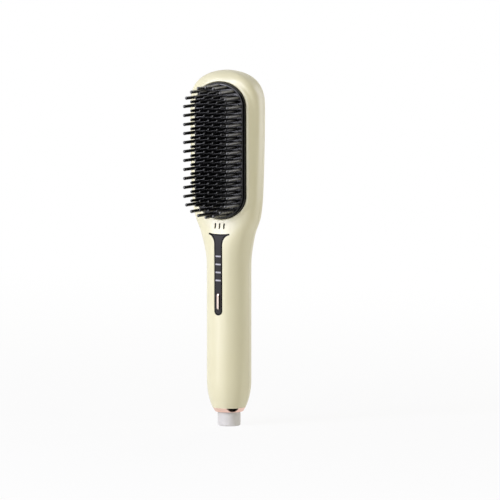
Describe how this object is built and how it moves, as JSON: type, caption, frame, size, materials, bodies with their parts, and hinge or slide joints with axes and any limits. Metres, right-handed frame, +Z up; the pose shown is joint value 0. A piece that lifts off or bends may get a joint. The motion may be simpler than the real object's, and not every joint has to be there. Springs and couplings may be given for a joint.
{
  "type": "electric pet comb",
  "caption": "Hand-held heated pet comb: two-shell body, black bed of pins and heated teeth, inlaid strip with a press button and light bars, and a swivelling cord gland.",
  "frame": {"origin": "centre of the cord inlet, on the gland's lower face", "axes": "+Z up the handle to the head, -Y the way the pins point, +X to the right of someone who looks at the pins"},
  "size_m": [0.0492, 0.044, 0.2238],
  "materials": {
    "cream_shell": "smooth cream, semi-gloss",
    "plug_cream": "smooth cream",
    "comb_black": "gloss black",
    "pin_black": "gloss black",
    "coated_metal": "smooth black coating",
    "screw_steel": "plain",
    "heater_ceramic": "matt",
    "amber_film": "film",
    "sheet_steel": "sheet",
    "sensor_black": "beaded",
    "fuse_case": "drawn",
    "shield_sheet": "sheet",
    "strip_charcoal": "gloss charcoal",
    "guide_white": "milky",
    "rose_plate": "rose-gold plate",
    "board_green": "solder mask",
    "lamp_white": "clear",
    "switch_black": "moulded",
    "plunger_grey": "moulded",
    "capacitor_yellow": "moulded",
    "generator_blue": "potted",
    "gland_grey": "satin off-white",
    "contact_brass": "plain",
    "lead_white": "sleeved",
    "lead_red": "sleeved"
  },
  "bodies": {
    "body": {"front_shell": "cream_shell", "rear_shell": "cream_shell", "shell_screws": "screw_steel", "screw_plugs": "plug_cream", "comb_frame": "comb_black", "outer_pins": "pin_black", "heating_plate": "coated_metal", "heated_teeth": "coated_metal", "comb_screws": "screw_steel", "ptc_heater": "heater_ceramic", "heater_insulator": "amber_film", "heater_clamp": "sheet_steel", "clamp_screws": "screw_steel", "thermistor": "sensor_black", "thermal_fuse": "fuse_case", "heat_shield": "shield_sheet", "control_strip": "strip_charcoal", "light_guide": "guide_white", "control_board": "board_green", "board_screws": "screw_steel", "indicator_lamps": "lamp_white", "tactile_switch": "switch_black", "triac": "switch_black", "film_capacitor": "capacitor_yellow", "ion_generator": "generator_blue", "ion_emitter": "plunger_grey", "end_ring": "rose_plate", "contact_holder": "plunger_grey", "contact_leaves": "contact_brass", "mains_leads": "lead_white", "heater_leads": "lead_red", "sensor_lead": "lead_white"},
    "button": {"power_button": "rose_plate", "switch_plunger": "plunger_grey"},
    "gland": {"cord_gland": "gland_grey", "slip_rings": "contact_brass"}
  },
  "joints": [
    {"name": "button_press", "type": "slide", "parent": "body", "child": "button", "axis": [0, 1, 0], "range_m": [0, 0.0004], "stiffness_N_per_m": 200},
    {"name": "gland_swivel", "type": "hinge", "parent": "body", "child": "gland", "pos_m": [0, 0, 0], "axis": [0, 0, 1], "continuous": true}
  ]
}
